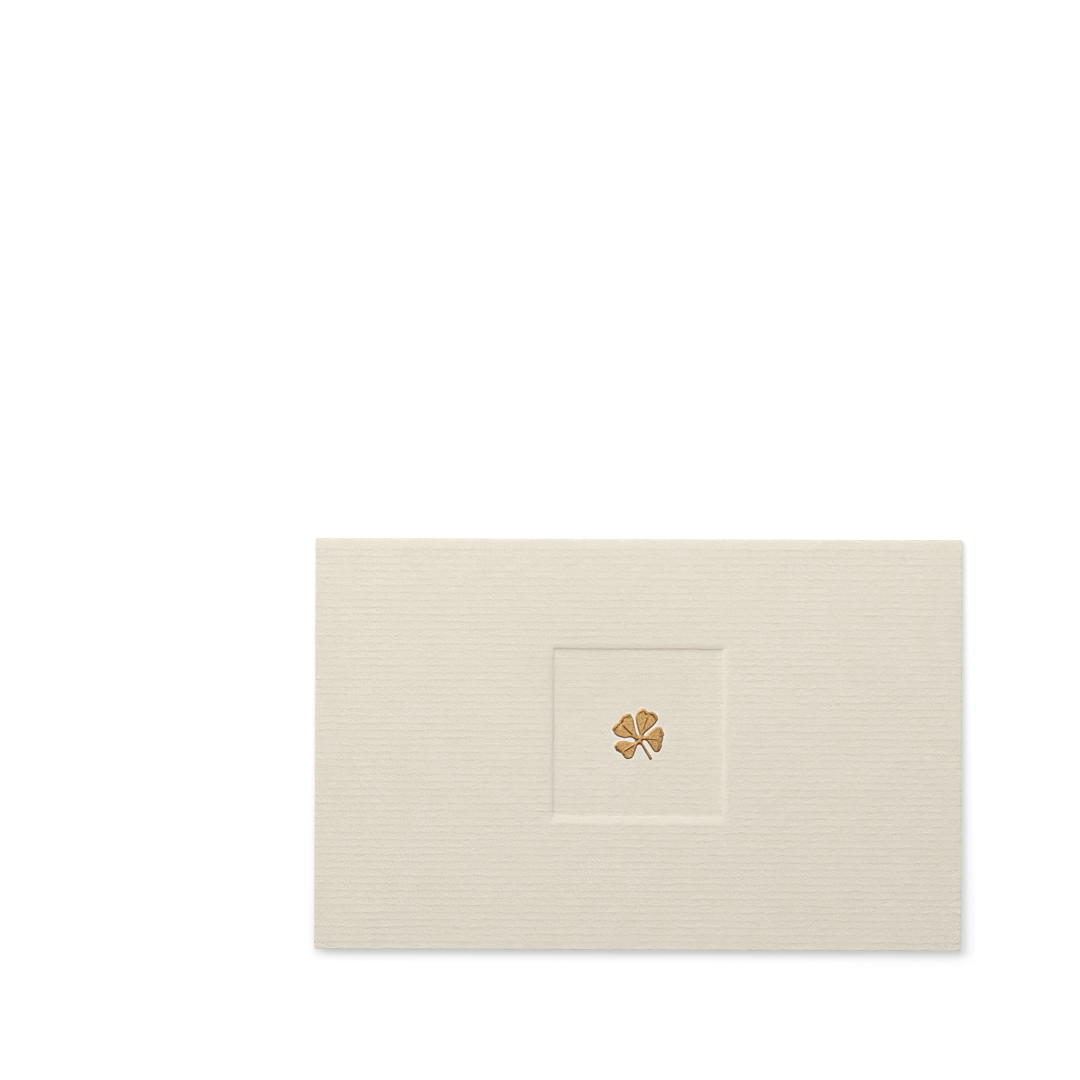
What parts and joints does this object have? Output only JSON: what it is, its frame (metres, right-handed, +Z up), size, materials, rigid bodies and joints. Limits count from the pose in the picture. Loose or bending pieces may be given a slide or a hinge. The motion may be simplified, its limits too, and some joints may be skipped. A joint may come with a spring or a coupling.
{
  "type": "greeting card",
  "caption": "Folded card of heavy cream laid paper, lying flat, with a square plate-sunk panel in the front leaf and a raised gold clover in the panel.",
  "frame": {"origin": "centre of the card's footprint, on the surface that it lies on", "axes": "+X along the fold, to the right of the card's face; +Y from the free edges to the fold, up on the card's face; +Z up, out of the card's face"},
  "size_m": [0.165, 0.105, 0.003],
  "materials": {
    "cream_stock": "uncoated laid stock, matte",
    "gold_stamping": "matte metallic gold stamping"
  },
  "bodies": {
    "root": {"folded_card": "cream_stock", "gold_clover": "gold_stamping"}
  },
  "joints": []
}
